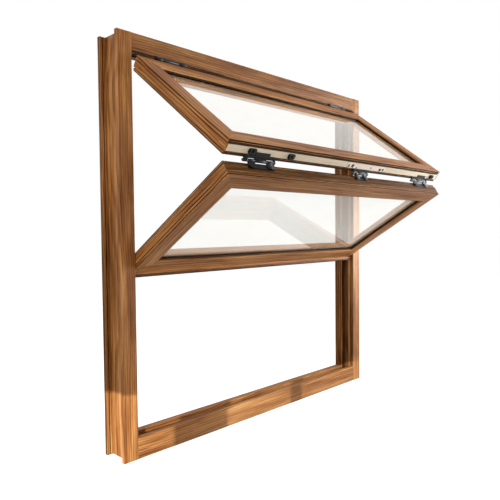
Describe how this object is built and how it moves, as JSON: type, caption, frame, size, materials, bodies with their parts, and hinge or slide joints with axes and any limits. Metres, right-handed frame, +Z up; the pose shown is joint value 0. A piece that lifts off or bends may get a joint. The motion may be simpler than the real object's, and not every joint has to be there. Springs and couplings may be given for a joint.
{
  "type": "folding window",
  "caption": "Up-folding timber window: an outer frame with hinged upper and lower glazed sashes, shown part open, that fold outwards and up under the head.",
  "frame": {"origin": "middle of the underside of the sill's front flange, on the face that stands on the wall's sill", "axes": "+X to the right seen from outside, along the frame's width; +Y from the outside face to the inside face; +Z up"},
  "size_m": [1.235, 0.5075, 1.25],
  "materials": {
    "frame_wood": "satin, straight grain",
    "sash_wood": "satin, straight grain",
    "bead_wood": "satin, straight grain",
    "clear_glass": "clear, polished",
    "black_rubber": "matt",
    "pale_strip": "bare, fine grain",
    "lock_plate": "satin",
    "black_hardware": "satin black",
    "hinge_pin": "blackened",
    "roller_nylon": "moulded nylon"
  },
  "bodies": {
    "root": {"jamb_left": "frame_wood", "jamb_right": "frame_wood", "head_member": "frame_wood", "sill_member": "frame_wood", "head_trim": "frame_wood", "top_sash_top_rail": "sash_wood", "top_sash_bottom_rail": "sash_wood", "top_sash_left_stile": "sash_wood", "top_sash_right_stile": "sash_wood", "top_sash_glass": "clear_glass", "top_sash_beads": "bead_wood", "top_sash_seal": "black_rubber", "low_sash_top_rail": "sash_wood", "low_sash_bottom_rail": "sash_wood", "low_sash_left_stile": "sash_wood", "low_sash_right_stile": "sash_wood", "low_sash_glass": "clear_glass", "low_sash_beads": "bead_wood", "low_sash_seal": "black_rubber", "low_sash_drip_seal": "black_rubber", "lock_rail_strip": "pale_strip", "lock_gearbox_plate": "lock_plate", "lock_cam_outer_left": "black_hardware", "lock_cam_inner_left": "black_hardware", "lock_cam_outer_right": "black_hardware", "head_hinge_left_frame_leaf": "black_hardware", "head_hinge_left_sash_leaf": "black_hardware", "head_hinge_left_pin": "hinge_pin", "head_hinge_right_frame_leaf": "black_hardware", "head_hinge_right_sash_leaf": "black_hardware", "head_hinge_right_pin": "hinge_pin", "fold_hinge_left_upper_leaf": "black_hardware", "fold_hinge_left_lower_leaf": "black_hardware", "fold_hinge_left_pin": "hinge_pin", "fold_hinge_middle_upper_leaf": "black_hardware", "fold_hinge_middle_lower_leaf": "black_hardware", "fold_hinge_middle_pin": "hinge_pin", "fold_hinge_right_upper_leaf": "black_hardware", "fold_hinge_right_lower_leaf": "black_hardware", "fold_hinge_right_pin": "hinge_pin", "guide_arm_left": "black_hardware", "guide_roller_left": "roller_nylon", "guide_arm_right": "black_hardware", "guide_roller_right": "roller_nylon"}
  },
  "joints": []
}
